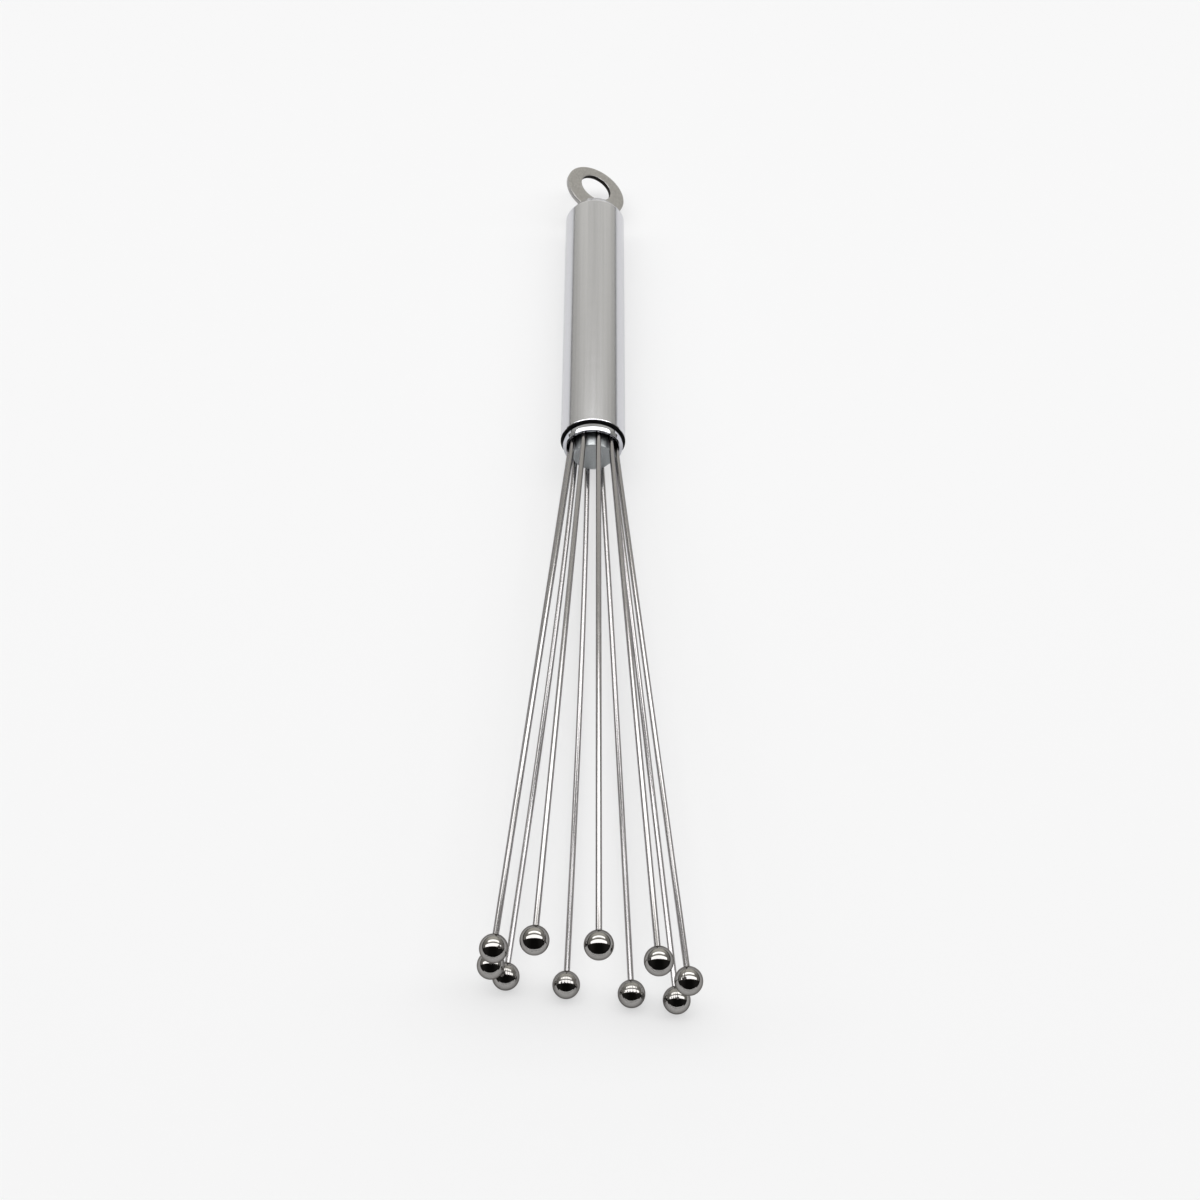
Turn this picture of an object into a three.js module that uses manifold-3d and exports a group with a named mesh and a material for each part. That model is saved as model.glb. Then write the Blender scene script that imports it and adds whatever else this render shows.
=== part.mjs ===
// Ball whisk: a round hollow handle with a hanging ring at its rear end, and at its front a
// polished sleeve out of which ten thin wires fan, each with a small ball on its tip.
// The whisk lies on a table, on its low balls and on the rear edge of its handle.
// Millimetres, +Z up. The balls point to -Y and the hanging ring to +Y. Inside the whisk's own
// group the handle's axis is Y, and y = 0 is the front end of the handle tube.
import * as THREE from 'three';
import { mergeVertices } from 'three/addons/utils/BufferGeometryUtils.js';
import Module from 'manifold-3d';

const wasm = await Module();
wasm.setup();

const DEG = Math.PI / 180;

// Handle tube: its rear end is drawn in to a cone, and its front edge has a slight taper
const TUBE_D = 18;
const TUBE_WALL = 0.6;
const TUBE_LENGTH = 92;
const REAR_CONE_LENGTH = 3.4;
const REAR_CONE_DROP = 2;
const FRONT_EDGE_LENGTH = 0.4;
const FRONT_EDGE_DROP = 0.12;

// End cap in the handle's rear, and the flat ring whose tang passes through it. The ring's
// hole is set a little away from the handle.
const CAP_DEPTH = 2.4;
const CAP_CROWN = 0.4;
const RING_OD = 19.6;
const RING_HOLE_D = 10.2;
const RING_HOLE_SET = 1.3;
const RING_THICKNESS = 1.4;
const RING_CENTRE = 10.9;
const RING_ROLL = 27 * DEG;
const TANG_WIDTH = 9;
const TANG_DEPTH = 9;

// Wires: from the mouth they flare to a wider circle at the balls
const WIRE_COUNT = 10;
const WIRE_D = 1.4;
const CAGE_RADIUS = 22.4;
const REACH = 153.3;
const FIRST_CLOCK = 11.7 * DEG;
const WIRE_TURN = 8 * DEG;
const BALL_D = 6.4;
const BALL_BORE_DEPTH = 4;

// The wires' ends are not quite square to the axis: the side at SKEW_CLOCK reaches further
const REACH_SKEW = 0.16;
const SKEW_CLOCK = 31 * DEG;

// How the whisk lies. A ball whose centre would be lower than LOW_ROW over the table rests on
// it, and the resting balls spread a little and slide to one side as they meet the table.
const LIE_ANGLE = 1.54 * DEG;
const LOW_ROW = 7;
const ROW_SPREAD = 1.1;
const ROW_SLIDE = -2.4;

// Sleeve in the handle's front, the seal round it and the wedge core that clamps the wires
const SLEEVE_FRONT = 2.95;
const SLEEVE_REAR = 3.2;
const MOUTH_WALL = 0.8;
const LIP_LENGTH = 0.95;
const LIP_DROP = 0.3;
const SEAL_THICKNESS = 0.3;
const CORE_FRONT = 6;
const CORE_EDGE = 0.35;
const SHANK_D = 4.8;
const SHANK_LENGTH = 7;
const ANCHOR_LENGTH = 13;
const ANCHOR_HOLE_DEPTH = 11;

// Clearances between pieces
const SEAT_GAP = 0.3;
const SEAL_GAP = 0.15;
const WIRE_FIT = 0.3;
const MOUTH_FIT = 0.25;
const BALL_FIT = 0.15;

// Facets
const ROUND_SIDES = 48;
const BALL_SIDES = 20;
const BALL_RINGS = 10;
const WIRE_SIDES = 8;
const WIRE_STEPS = 24;
const HOLE_SIDES = 12;
const EDGE_STEPS = 4;

const TUBE_R = TUBE_D / 2;
const TUBE_BORE_R = TUBE_R - TUBE_WALL;
const WIRE_R = WIRE_D / 2;
const BALL_R = BALL_D / 2;
const SLEEVE_R = TUBE_BORE_R - SEAT_GAP;
const MOUTH_RADIUS = SLEEVE_R - MOUTH_WALL - MOUTH_FIT - WIRE_R;
const CONE_START = TUBE_LENGTH - REAR_CONE_LENGTH;

const handleSteel = new THREE.MeshStandardMaterial({ color: 0xb4b2ae, roughness: 0.38, metalness: 1 });
const ringSteel = new THREE.MeshStandardMaterial({ color: 0xb0aeab, roughness: 0.34, metalness: 1 });
const polishedSteel = new THREE.MeshStandardMaterial({ color: 0xd6d7da, roughness: 0.08, metalness: 1 });
const wireSteel = new THREE.MeshStandardMaterial({ color: 0xc4c3c2, roughness: 0.18, metalness: 1 });
const ballSteel = new THREE.MeshStandardMaterial({ color: 0xd2d1d0, roughness: 0.04, metalness: 1 });
const coreSteel = new THREE.MeshStandardMaterial({ color: 0x8f9193, roughness: 0.45, metalness: 1 });
const blackRubber = new THREE.MeshStandardMaterial({ color: 0x0b0b0c, roughness: 0.7, metalness: 0 });

// A point of a turned profile: distance from the axis, and place along it
function at(radius, y) {
  return new THREE.Vector2(radius, y);
}

// Points of a quarter round from one angle to another about a centre in the profile
function roundPoints(centre, radius, from, to, steps = EDGE_STEPS) {
  const points = [];
  for (let i = 0; i <= steps; i += 1) {
    const angle = from + (to - from) * i / steps;
    points.push(at(centre.x + radius * Math.cos(angle), centre.y + radius * Math.sin(angle)));
  }
  return points;
}

// A turned ring: its profile runs anticlockwise seen with the axis on the left, and closes
function turnedRing(profile) {
  return new THREE.LatheGeometry([...profile, profile[0].clone()], ROUND_SIDES);
}

function toSolid(geometry) {
  const bare = geometry.clone();
  bare.deleteAttribute('normal');
  bare.deleteAttribute('uv');
  const merged = mergeVertices(bare);
  return new wasm.Manifold(new wasm.Mesh({
    numProp: 3,
    vertProperties: new Float32Array(merged.attributes.position.array),
    triVerts: new Uint32Array(merged.index.array),
  }));
}

function fromSolid(solid) {
  const mesh = solid.getMesh();
  const geometry = new THREE.BufferGeometry();
  geometry.setAttribute('position', new THREE.BufferAttribute(mesh.vertProperties, 3));
  geometry.setIndex(new THREE.BufferAttribute(mesh.triVerts, 1));
  geometry.computeVertexNormals();
  return geometry;
}

function named(name, geometry, material) {
  const mesh = new THREE.Mesh(geometry, material);
  mesh.name = name;
  return mesh;
}

// The handle tube is open at its front, and its rear end is drawn in round the end cap
function handleTube() {
  const profile = [
    at(TUBE_BORE_R, 0),
    at(TUBE_R - FRONT_EDGE_DROP, 0),
    at(TUBE_R, FRONT_EDGE_LENGTH),
    at(TUBE_R, CONE_START),
    at(TUBE_R - REAR_CONE_DROP, TUBE_LENGTH),
    at(TUBE_BORE_R - REAR_CONE_DROP, TUBE_LENGTH),
    at(TUBE_BORE_R, CONE_START),
  ];
  return named('handle_tube', turnedRing(profile), handleSteel);
}

// The cap widens inwards with the tube's cone, which holds it, and its outer face is crowned
function endCap() {
  const faceR = TUBE_BORE_R - REAR_CONE_DROP - SEAT_GAP;
  const footR = faceR + CAP_DEPTH * REAR_CONE_DROP / REAR_CONE_LENGTH;
  const crownR = (faceR ** 2 + CAP_CROWN ** 2) / (2 * CAP_CROWN);
  const crown = [];
  for (let i = 0; i <= EDGE_STEPS; i += 1) {
    const radius = faceR * (1 - i / EDGE_STEPS);
    const rise = Math.sqrt(crownR ** 2 - radius ** 2) - (crownR - CAP_CROWN);
    crown.push(at(radius, TUBE_LENGTH + rise));
  }
  const profile = [
    at(0, TUBE_LENGTH - CAP_DEPTH),
    at(footR, TUBE_LENGTH - CAP_DEPTH),
    ...crown,
  ];
  const slot = new THREE.BoxGeometry(
    TANG_WIDTH + 2 * SEAT_GAP,
    4 * CAP_DEPTH,
    RING_THICKNESS + 2 * SEAT_GAP,
  );
  slot.rotateY(RING_ROLL);
  slot.translate(0, TUBE_LENGTH, 0);
  const cap = toSolid(new THREE.LatheGeometry(profile, ROUND_SIDES)).subtract(toSolid(slot));
  return named('end_cap', fromSolid(cap), polishedSteel);
}

// A flat stamped ring with a straight tang, rolled about the handle's axis
function hangingRing() {
  const outerR = RING_OD / 2;
  const halfTang = TANG_WIDTH / 2;
  const neckAngle = Math.asin(halfTang / outerR);
  const outline = new THREE.Shape();
  outline.moveTo(-halfTang, -RING_CENTRE - TANG_DEPTH);
  outline.lineTo(halfTang, -RING_CENTRE - TANG_DEPTH);
  outline.lineTo(halfTang, -outerR * Math.cos(neckAngle));
  outline.absarc(0, 0, outerR, -90 * DEG + neckAngle, 270 * DEG - neckAngle, false);
  outline.closePath();
  const hole = new THREE.Path();
  hole.absarc(0, RING_HOLE_SET, RING_HOLE_D / 2, 0, 360 * DEG, true);
  outline.holes.push(hole);
  const geometry = new THREE.ExtrudeGeometry(outline, {
    depth: RING_THICKNESS,
    bevelEnabled: false,
    curveSegments: ROUND_SIDES,
  });
  geometry.translate(0, 0, -RING_THICKNESS / 2);
  const ring = named('hanging_ring', geometry, ringSteel);
  ring.rotation.y = RING_ROLL;
  ring.position.y = TUBE_LENGTH + RING_CENTRE;
  return ring;
}

// The axis's height over the table at the tube's front end: the tube touches the table where
// its cone starts, and the axis falls towards the ring by LIE_ANGLE
const AXIS_LIFT = TUBE_R * Math.cos(LIE_ANGLE) + CONE_START * Math.sin(LIE_ANGLE);
function heightOverTable(y, z) {
  return z * Math.cos(LIE_ANGLE) - y * Math.sin(LIE_ANGLE) + AXIS_LIFT;
}
function heightInWhisk(y, overTable) {
  return (overTable - AXIS_LIFT + y * Math.sin(LIE_ANGLE)) / Math.cos(LIE_ANGLE);
}

// The ball's place along the axis, from its place across it
function ballReach(x, z) {
  return REACH + REACH_SKEW * (x * Math.cos(SKEW_CLOCK) + z * Math.sin(SKEW_CLOCK));
}

// Where wire i passes the mouth, where it leaves the anchor, and its free and final tips
function wirePlaces(i) {
  const clock = FIRST_CLOCK + i * 360 * DEG / WIRE_COUNT;
  const mouthClock = clock - WIRE_TURN;
  const mouth = new THREE.Vector3(
    MOUTH_RADIUS * Math.cos(mouthClock),
    -SLEEVE_FRONT,
    MOUTH_RADIUS * Math.sin(mouthClock),
  );
  const freeX = CAGE_RADIUS * Math.cos(clock);
  const freeZ = CAGE_RADIUS * Math.sin(clock);
  const free = new THREE.Vector3(freeX, -ballReach(freeX, freeZ), freeZ);
  const ball = free.clone();
  if (heightOverTable(free.y, free.z) < LOW_ROW) {
    ball.x = free.x * ROW_SPREAD + ROW_SLIDE;
    ball.z = heightInWhisk(free.y, BALL_R);
    ball.y = -ballReach(ball.x, ball.z);
    ball.z = heightInWhisk(ball.y, BALL_R);
  }
  const flare = free.clone().sub(mouth);
  const back = (SLEEVE_FRONT + SLEEVE_REAR + SEAT_GAP) / -flare.y;
  const leave = mouth.clone().addScaledVector(flare, -back);
  return { mouth, leave, flare, ball };
}

const WIRES = [];
for (let i = 0; i < WIRE_COUNT; i += 1) {
  WIRES.push(wirePlaces(i));
}

// A wire leaves the mouth along its flare. Where the table presses its ball aside by a shift,
// it bends like a beam held at the mouth: by (3 t^2 - t^3) / 2 of the shift at a share t of the
// length, which as a Bezier curve has the shift's shares 0, 0, 1/2 and 1 at its four points.
function freeStretch({ mouth, flare, ball }) {
  const shift = ball.clone().sub(mouth).sub(flare);
  return new THREE.CubicBezierCurve3(
    mouth,
    mouth.clone().addScaledVector(flare, 1 / 3),
    mouth.clone().addScaledVector(flare, 2 / 3).addScaledVector(shift, 1 / 2),
    ball,
  );
}

// A wire's tip lies in its ball's bore, short of the bottom by the ball's fit
function wireTip(stretch, ball) {
  const along = stretch.getTangent(1);
  return ball.clone().addScaledVector(along, BALL_BORE_DEPTH - BALL_R - BALL_FIT);
}

function roundSection(radius, sides) {
  const points = [];
  for (let i = 0; i < sides; i += 1) {
    const angle = i * 360 * DEG / sides;
    points.push(at(radius * Math.cos(angle), radius * Math.sin(angle)));
  }
  return new THREE.Shape(points);
}

function wire(name, places) {
  const stretch = freeStretch(places);
  const path = new THREE.CurvePath();
  const holeEnd = places.leave.clone();
  holeEnd.y += ANCHOR_HOLE_DEPTH - SEAT_GAP;
  path.add(new THREE.LineCurve3(holeEnd, places.leave));
  path.add(new THREE.LineCurve3(places.leave, places.mouth));
  path.add(stretch);
  path.add(new THREE.LineCurve3(places.ball, wireTip(stretch, places.ball)));
  const geometry = new THREE.ExtrudeGeometry(roundSection(WIRE_R, WIRE_SIDES), {
    steps: WIRE_STEPS,
    extrudePath: path,
  });
  return named(name, geometry, wireSteel);
}

// A ball is turned about its wire's end, with a blind bore that the wire enters
function ball(name, places) {
  const boreR = WIRE_R + BALL_FIT;
  const rimAngle = Math.acos(boreR / BALL_R);
  const profile = roundPoints(at(0, 0), BALL_R, -90 * DEG, rimAngle, BALL_RINGS);
  profile[0].x = 0;
  const boreBottom = BALL_R - BALL_BORE_DEPTH;
  profile.push(at(boreR, boreBottom), at(0, boreBottom));
  const mesh = named(name, new THREE.LatheGeometry(profile, BALL_SIDES), ballSteel);
  const towardsWire = freeStretch(places).getTangent(1).negate();
  mesh.quaternion.setFromUnitVectors(new THREE.Vector3(0, 1, 0), towardsWire);
  mesh.position.copy(places.ball);
  return mesh;
}

// The circle on which the wires leave the anchor, by the same flare as at the mouth
const LEAVE_RADIUS = Math.hypot(WIRES[0].leave.x, WIRES[0].leave.z);

// A short sleeve: its bore widens with the wires' flare, and it tapers a little to its lip
function sleeve() {
  const rearBoreR = LEAVE_RADIUS + WIRE_R + MOUTH_FIT;
  const profile = [
    at(SLEEVE_R - MOUTH_WALL, -SLEEVE_FRONT),
    at(SLEEVE_R - LIP_DROP, -SLEEVE_FRONT),
    at(SLEEVE_R, -SLEEVE_FRONT + LIP_LENGTH),
    at(SLEEVE_R, SLEEVE_REAR),
    at(rearBoreR, SLEEVE_REAR),
  ];
  return named('ferrule_sleeve', turnedRing(profile), polishedSteel);
}

// A black ring round the sleeve, flush with the handle, that closes the joint at its end
function sealRing() {
  const front = -SEAL_GAP - SEAL_THICKNESS;
  const innerR = SLEEVE_R + SEAL_GAP;
  const edge = SEAL_THICKNESS / 3;
  const profile = [
    at(innerR, front),
    at(TUBE_R - edge, front),
    at(TUBE_R, front + edge),
    at(TUBE_R, -SEAL_GAP - edge),
    at(TUBE_R - edge, -SEAL_GAP),
    at(innerR, -SEAL_GAP),
  ];
  return named('seal_ring', turnedRing(profile), blackRubber);
}

// The wedge core fills the ring of wires: a shank in the anchor, a taper that flares the
// wires against the sleeve, and a short boss in front of the mouth
function wedgeCore() {
  const rearR = LEAVE_RADIUS - WIRE_R - MOUTH_FIT;
  const bossR = MOUTH_RADIUS - WIRE_R - MOUTH_FIT;
  const profile = [
    at(0, -CORE_FRONT),
    at(bossR - CORE_EDGE, -CORE_FRONT),
    ...roundPoints(at(bossR - CORE_EDGE, -CORE_FRONT + CORE_EDGE), CORE_EDGE, -90 * DEG, 0).slice(1),
    at(bossR, -SLEEVE_FRONT),
    at(rearR, SLEEVE_REAR),
    at(SHANK_D / 2, SLEEVE_REAR),
    at(SHANK_D / 2, SLEEVE_REAR + SHANK_LENGTH),
    at(0, SLEEVE_REAR + SHANK_LENGTH),
  ];
  return named('wedge_core', new THREE.LatheGeometry(profile, ROUND_SIDES), coreSteel);
}

function drill(radius, length, x, y, z) {
  const cutter = new THREE.CylinderGeometry(radius, radius, length, HOLE_SIDES);
  cutter.translate(x, y, z);
  return toSolid(cutter);
}

// A plug inside the handle, drilled with one blind hole for each wire and one for the core
function wireAnchor() {
  const front = SLEEVE_REAR + SEAT_GAP;
  const profile = [
    at(0, front),
    at(SLEEVE_R, front),
    at(SLEEVE_R, front + ANCHOR_LENGTH),
    at(0, front + ANCHOR_LENGTH),
  ];
  let plug = toSolid(new THREE.LatheGeometry(profile, ROUND_SIDES));
  for (const { leave } of WIRES) {
    const hole = drill(WIRE_R + WIRE_FIT, 2 * ANCHOR_HOLE_DEPTH, leave.x, front, leave.z);
    plug = plug.subtract(hole);
  }
  plug = plug.subtract(drill(SHANK_D / 2 + SEAT_GAP, 2 * SHANK_LENGTH, 0, front, 0));
  return named('wire_anchor', fromSolid(plug), coreSteel);
}

const whisk = new THREE.Group();
whisk.add(handleTube(), endCap(), hangingRing(), sleeve(), sealRing(), wedgeCore(), wireAnchor());
WIRES.forEach((places, i) => {
  const number = String(i + 1).padStart(2, '0');
  whisk.add(wire(`wire_${number}`, places), ball(`ball_${number}`, places));
});

// The whisk lies on the table, and the origin is in the middle of the box that holds it
whisk.rotation.x = -LIE_ANGLE;
whisk.position.z = AXIS_LIFT;
whisk.updateMatrixWorld(true);
const middle = new THREE.Box3().setFromObject(whisk, true).getCenter(new THREE.Vector3());
whisk.position.x = -middle.x;
whisk.position.y = -middle.y;

const group = new THREE.Group();
group.add(whisk);
export default group;
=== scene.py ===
# Looks of the ball whisk, on the frame of its CAD model. The frame is in metres: the balls
# point to -Y, the hanging ring to +Y, and Z is up from the table that the whisk lies on.
# Shapes are worked out in millimetres in the whisk's own axes, as a maker draws them: the
# handle's axis is Y, and y = 0 is the front end of the handle tube.
import math

import bpy
import numpy as np
from mathutils import Matrix, Vector


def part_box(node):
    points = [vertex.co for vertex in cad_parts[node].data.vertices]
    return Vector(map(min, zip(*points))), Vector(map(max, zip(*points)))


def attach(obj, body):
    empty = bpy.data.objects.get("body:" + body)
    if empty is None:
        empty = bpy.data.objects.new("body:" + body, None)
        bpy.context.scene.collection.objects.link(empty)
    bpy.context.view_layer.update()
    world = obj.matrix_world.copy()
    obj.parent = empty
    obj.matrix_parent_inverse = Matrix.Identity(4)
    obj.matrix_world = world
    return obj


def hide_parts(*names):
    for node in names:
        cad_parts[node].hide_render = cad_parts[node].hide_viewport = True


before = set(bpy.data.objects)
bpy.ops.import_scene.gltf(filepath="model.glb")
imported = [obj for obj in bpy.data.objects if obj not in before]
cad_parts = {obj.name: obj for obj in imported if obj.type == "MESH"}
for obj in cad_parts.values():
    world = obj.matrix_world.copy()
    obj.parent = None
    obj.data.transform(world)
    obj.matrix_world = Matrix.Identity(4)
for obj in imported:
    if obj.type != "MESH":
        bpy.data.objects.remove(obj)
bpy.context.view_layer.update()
handle_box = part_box("handle_tube")

MM = 0.001

# Clock angles run round the handle's axis from +X over the top, so its foot is at minus a
# quarter of a turn.
FULL_TURN = 2 * math.pi
FOOT = -math.pi / 2

# Handle tube
TUBE_R = 9.0
TUBE_WALL = 0.6
TUBE_LENGTH = 92.0
REAR_CONE_LENGTH = 3.4
REAR_CONE_DROP = 2.0
FRONT_EDGE_LENGTH = 0.4
FRONT_EDGE_DROP = 0.12

# End cap, and the hanging ring whose tang passes through it
CAP_DEPTH = 2.4
CAP_CROWN = 0.4
CAP_EDGE = 0.15
RING_R = 9.8
RING_HOLE_R = 5.1
RING_HOLE_SET = 1.3
RING_THICKNESS = 1.4
RING_CENTRE = 10.9
RING_ROLL = math.radians(27)
RING_EDGE = 0.14
TANG_WIDTH = 9.0
TANG_DEPTH = 9.0

# Sleeve, seal and wedge core
SLEEVE_FRONT = 2.95
SLEEVE_REAR = 3.2
MOUTH_WALL = 0.8
MOUTH_EDGE = 0.08
LIP_LENGTH = 0.95
LIP_DROP = 0.3
LIP_EDGE = 0.12
SLEEVE_FLANGE = 0.25
SEAL_THICKNESS = 0.3
CORE_FRONT = 6.0
CORE_EDGE = 0.35
SHANK_R = 2.4
SHANK_LENGTH = 7.0
ANCHOR_HOLE_DEPTH = 11.0

# Wires and balls
WIRE_COUNT = 10
WIRE_R = 0.7
CAGE_RADIUS = 22.4
REACH = 153.3
FIRST_CLOCK = math.radians(11.7)
WIRE_TURN = math.radians(8)
BALL_R = 3.2
BALL_SKIN = 0.025
BALL_BORE_DEPTH = 4.0
BORE_CHAMFER = 0.2
REACH_SKEW = 0.16
SKEW_CLOCK = math.radians(31)

# The lie of the whisk on the table
LIE_ANGLE = math.radians(1.54)
LOW_ROW = 7.0
ROW_SPREAD = 1.1
ROW_SLIDE = -2.4

# Clearances
SEAT_GAP = 0.3
SEAL_GAP = 0.15
MOUTH_FIT = 0.25
BALL_FIT = 0.15

TUBE_BORE_R = TUBE_R - TUBE_WALL
CONE_START = TUBE_LENGTH - REAR_CONE_LENGTH
CONE_SLOPE = REAR_CONE_DROP / REAR_CONE_LENGTH
SLEEVE_R = TUBE_BORE_R - SEAT_GAP
MOUTH_RADIUS = SLEEVE_R - MOUTH_WALL - MOUTH_FIT - WIRE_R

# How many sides and steps the shapes have
TUBE_SIDES = 256
COLLAR_SIDES = 200
CORE_SIDES = 160
WIRE_SIDES = 28
WIRE_STEPS = 64
BALL_SIDES = 72
BALL_STEPS = 56

# Camera, fitted to the handle's taper, its front rim and the ring: 45 mm lens on 36 mm
CAMERA_PLACE = Vector((0.00371, -0.23928, 0.33916))
CAMERA_FORWARD = Vector((-0.0039, 0.5397, -0.8419))
CAMERA_UP = Vector((-0.0058, 0.8419, 0.5397))
CAMERA_ROLL = 0.003
CAMERA_LENS = 45.0
SENSOR_WIDTH = 36.0

# Studio, in metres: the table, the card in front of the picture, and the lamps
TABLE_HALF = 3.0
CARD_Y = -0.208
CARD_HALF = 0.11
CARD_TOP = 0.026
LAMPS = [
    {"name": "high_lamp", "y": 0.125, "height": 1.35, "width": 5.2, "depth": 0.65,
     "strength": 3.2, "lights_matt": True},
    {"name": "rear_lamp", "y": 0.118, "height": 0.25, "width": 0.56, "depth": 0.104,
     "strength": 3.0, "lights_matt": False},
    {"name": "strip_lamp", "y": -0.0365, "height": 0.14, "width": 0.24, "depth": 0.018,
     "strength": 2.2, "lights_matt": False},
]

# The room: its level at angles in degrees over the whisk, from the front horizon over the
# top to the back one. Steel mirrors one row in the middle and one at the sides, and matt
# things are lit by the third.
WARM = (1.0, 0.985, 0.91)
NEUTRAL = (1.0, 1.0, 1.0)
ROOM_MIDDLE = [(0, 0.01), (119, 0.01), (122, 1.15), (129, 1.15), (132, 0.5), (137, 0.61),
               (145, 0.73), (155, 1.0), (180, 1.0)]
ROOM_SIDES = [(0, 0.03), (80, 0.03), (88, 0.34), (180, 0.34)]
ROOM_FOR_MATT = [(0, 0.09), (115, 0.09), (122, 1.2), (148, 1.2), (155, 0.09)]


def place(points):
    """Whisk to table: millimetres turned about X by the lie angle and moved, so that the
    tube's front top and front foot meet the frame's own box of the handle, in metres."""
    sin, cos = math.sin(LIE_ANGLE), math.cos(LIE_ANGLE)
    low, high = handle_box
    x, y, z = np.moveaxis(np.asarray(points, float), -1, 0)
    across = (low.x + high.x) / 2
    along = low.y + (TUBE_R - FRONT_EDGE_DROP) * sin * MM
    lift = high.z - (TUBE_R * cos - FRONT_EDGE_LENGTH * sin) * MM
    turned_y = y * cos + z * sin
    turned_z = z * cos - y * sin
    return np.stack([x * MM + across, turned_y * MM + along, turned_z * MM + lift], -1)


def height_over_table(y, z):
    """Height in millimetres of a point of the whisk's middle plane."""
    return place([0.0, y, z])[2] / MM


def piece(name, grid, material, stands_for, closed_loop=False, sharp=40):
    """A mesh from a grid of points, in rows that each run round the shape. The rows are
    joined one to the next, and the last to the first for a closed loop. Otherwise both end
    rows close on a pole in their middle. The UV map is in millimetres: along the rows'
    middle line, and round the widest row. The volume that the faces enclose is a sixth of
    the sum, over both triangles of each face, of one corner dotted with the cross product of
    the others; where it comes out below zero, the faces are turned to point outwards. Edges
    bent by more than the sharp angle, in degrees, stay crisp."""
    rows, around = grid.shape[:2]
    points = grid.reshape(-1, 3)
    row = np.arange(rows if closed_loop else rows - 1)[:, None]
    turn = np.arange(around)[None, :]
    next_row = (row + 1) % rows
    next_turn = (turn + 1) % around
    quads = np.stack([row * around + turn, row * around + next_turn,
                      next_row * around + next_turn, next_row * around + turn], -1)
    quads = quads.reshape(-1, 4)
    steps = np.linalg.norm(grid - np.roll(grid, -1, axis=0), axis=-1).mean(1)
    along = np.concatenate([[0.0], np.cumsum(steps)])
    girth = np.linalg.norm(grid - np.roll(grid, -1, axis=1), axis=-1).sum(1).max()
    span = girth / around
    u = np.stack([along[row], along[row], along[row + 1], along[row + 1]], -1)
    v = np.stack([turn, turn + 1, turn + 1, turn], -1) * span
    uv = np.stack(np.broadcast_arrays(u, v), -1).reshape(-1, 2)
    faces = quads.tolist()
    triangles = np.concatenate([quads[:, :3], quads[:, [0, 2, 3]]])
    if not closed_loop:
        first_pole, last_pole = len(points), len(points) + 1
        points = np.concatenate([points, grid[0].mean(0)[None], grid[-1].mean(0)[None]])
        here, after = turn[0], next_turn[0]
        end_row = (rows - 1) * around
        start_fan = np.stack([after, here, np.full(around, first_pole)], -1)
        end_fan = np.stack([here + end_row, after + end_row, np.full(around, last_pole)], -1)
        faces += start_fan.tolist() + end_fan.tolist()
        triangles = np.concatenate([triangles, start_fan, end_fan])
        fan_v = np.stack([here + 1, here, here + 0.5], -1) * span
        start_uv = np.stack(np.broadcast_arrays(along[0], fan_v), -1)
        end_uv = np.stack(np.broadcast_arrays(along[rows - 1], fan_v[:, [1, 0, 2]]), -1)
        uv = np.concatenate([uv, start_uv.reshape(-1, 2), end_uv.reshape(-1, 2)])
    a, b, c = np.moveaxis(points[triangles], 1, 0)
    inside_out = np.einsum("ij,ij->", a, np.cross(b, c)) < 0
    mesh = bpy.data.meshes.new(name)
    mesh.from_pydata(place(points).tolist(), [], faces)
    mesh.uv_layers.new(name="UVMap").data.foreach_set("uv", uv.astype(np.float32).ravel())
    mesh.polygons.foreach_set("use_smooth", np.ones(len(faces), bool))
    if inside_out:
        mesh.flip_normals()
    mesh.set_sharp_from_angle(angle=math.radians(sharp))
    mesh.materials.append(material)
    made = bpy.data.objects.new(name, mesh)
    bpy.context.scene.collection.objects.link(made)
    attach(made, "root")
    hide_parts(stands_for)
    return made


def quarter(centre_r, centre_y, radius, start, stop, steps=8):
    """Points of a round edge, as radius and place along the axis: centre plus the edge's
    radius times the cosine and sine of an angle that runs from start to stop, in degrees."""
    angle = np.radians(np.linspace(start, stop, steps + 1))
    return np.stack([centre_r + radius * np.cos(angle), centre_y + radius * np.sin(angle)], -1)


def straight(*ends, steps=1):
    """Points spread evenly on the straight stretches between the ends."""
    ends = np.array(ends, float)
    share = np.linspace(0, 1, steps, endpoint=False)[:, None]
    stretches = [a + (b - a) * share for a, b in zip(ends[:-1], ends[1:])]
    return np.concatenate(stretches + [ends[-1:]])


def eased(start, corner, stop, steps=6):
    """Points of a small round in place of a corner: (1 - t) squared of the start, 2 t (1 - t)
    of the corner and t squared of the stop, for shares t from 0 to 1."""
    t = np.linspace(0, 1, steps + 1)[:, None]
    start, corner, stop = np.array(start), np.array(corner), np.array(stop)
    return (1 - t) ** 2 * start + 2 * t * (1 - t) * corner + t ** 2 * stop


def turned(profile, sides):
    """A turned shape: every profile point (radius, place) goes round the handle's axis, to
    x = radius times cosine and z = radius times sine of the clock angle."""
    clock = np.linspace(0, FULL_TURN, sides, endpoint=False) + FOOT
    radius, y = (column[:, None] for column in np.asarray(profile).T)
    return np.stack(np.broadcast_arrays(radius * np.cos(clock), y, radius * np.sin(clock)), -1)


def rolled(x, y, z):
    """A point of the ring's own flat plane, rolled about the handle's axis with the ring."""
    sin, cos = math.sin(RING_ROLL), math.cos(RING_ROLL)
    return np.stack(np.broadcast_arrays(x * cos + z * sin, y, z * cos - x * sin), -1)


def unit(vectors):
    """Each vector divided by its own length."""
    return vectors / np.linalg.norm(vectors, axis=-1, keepdims=True)


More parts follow.
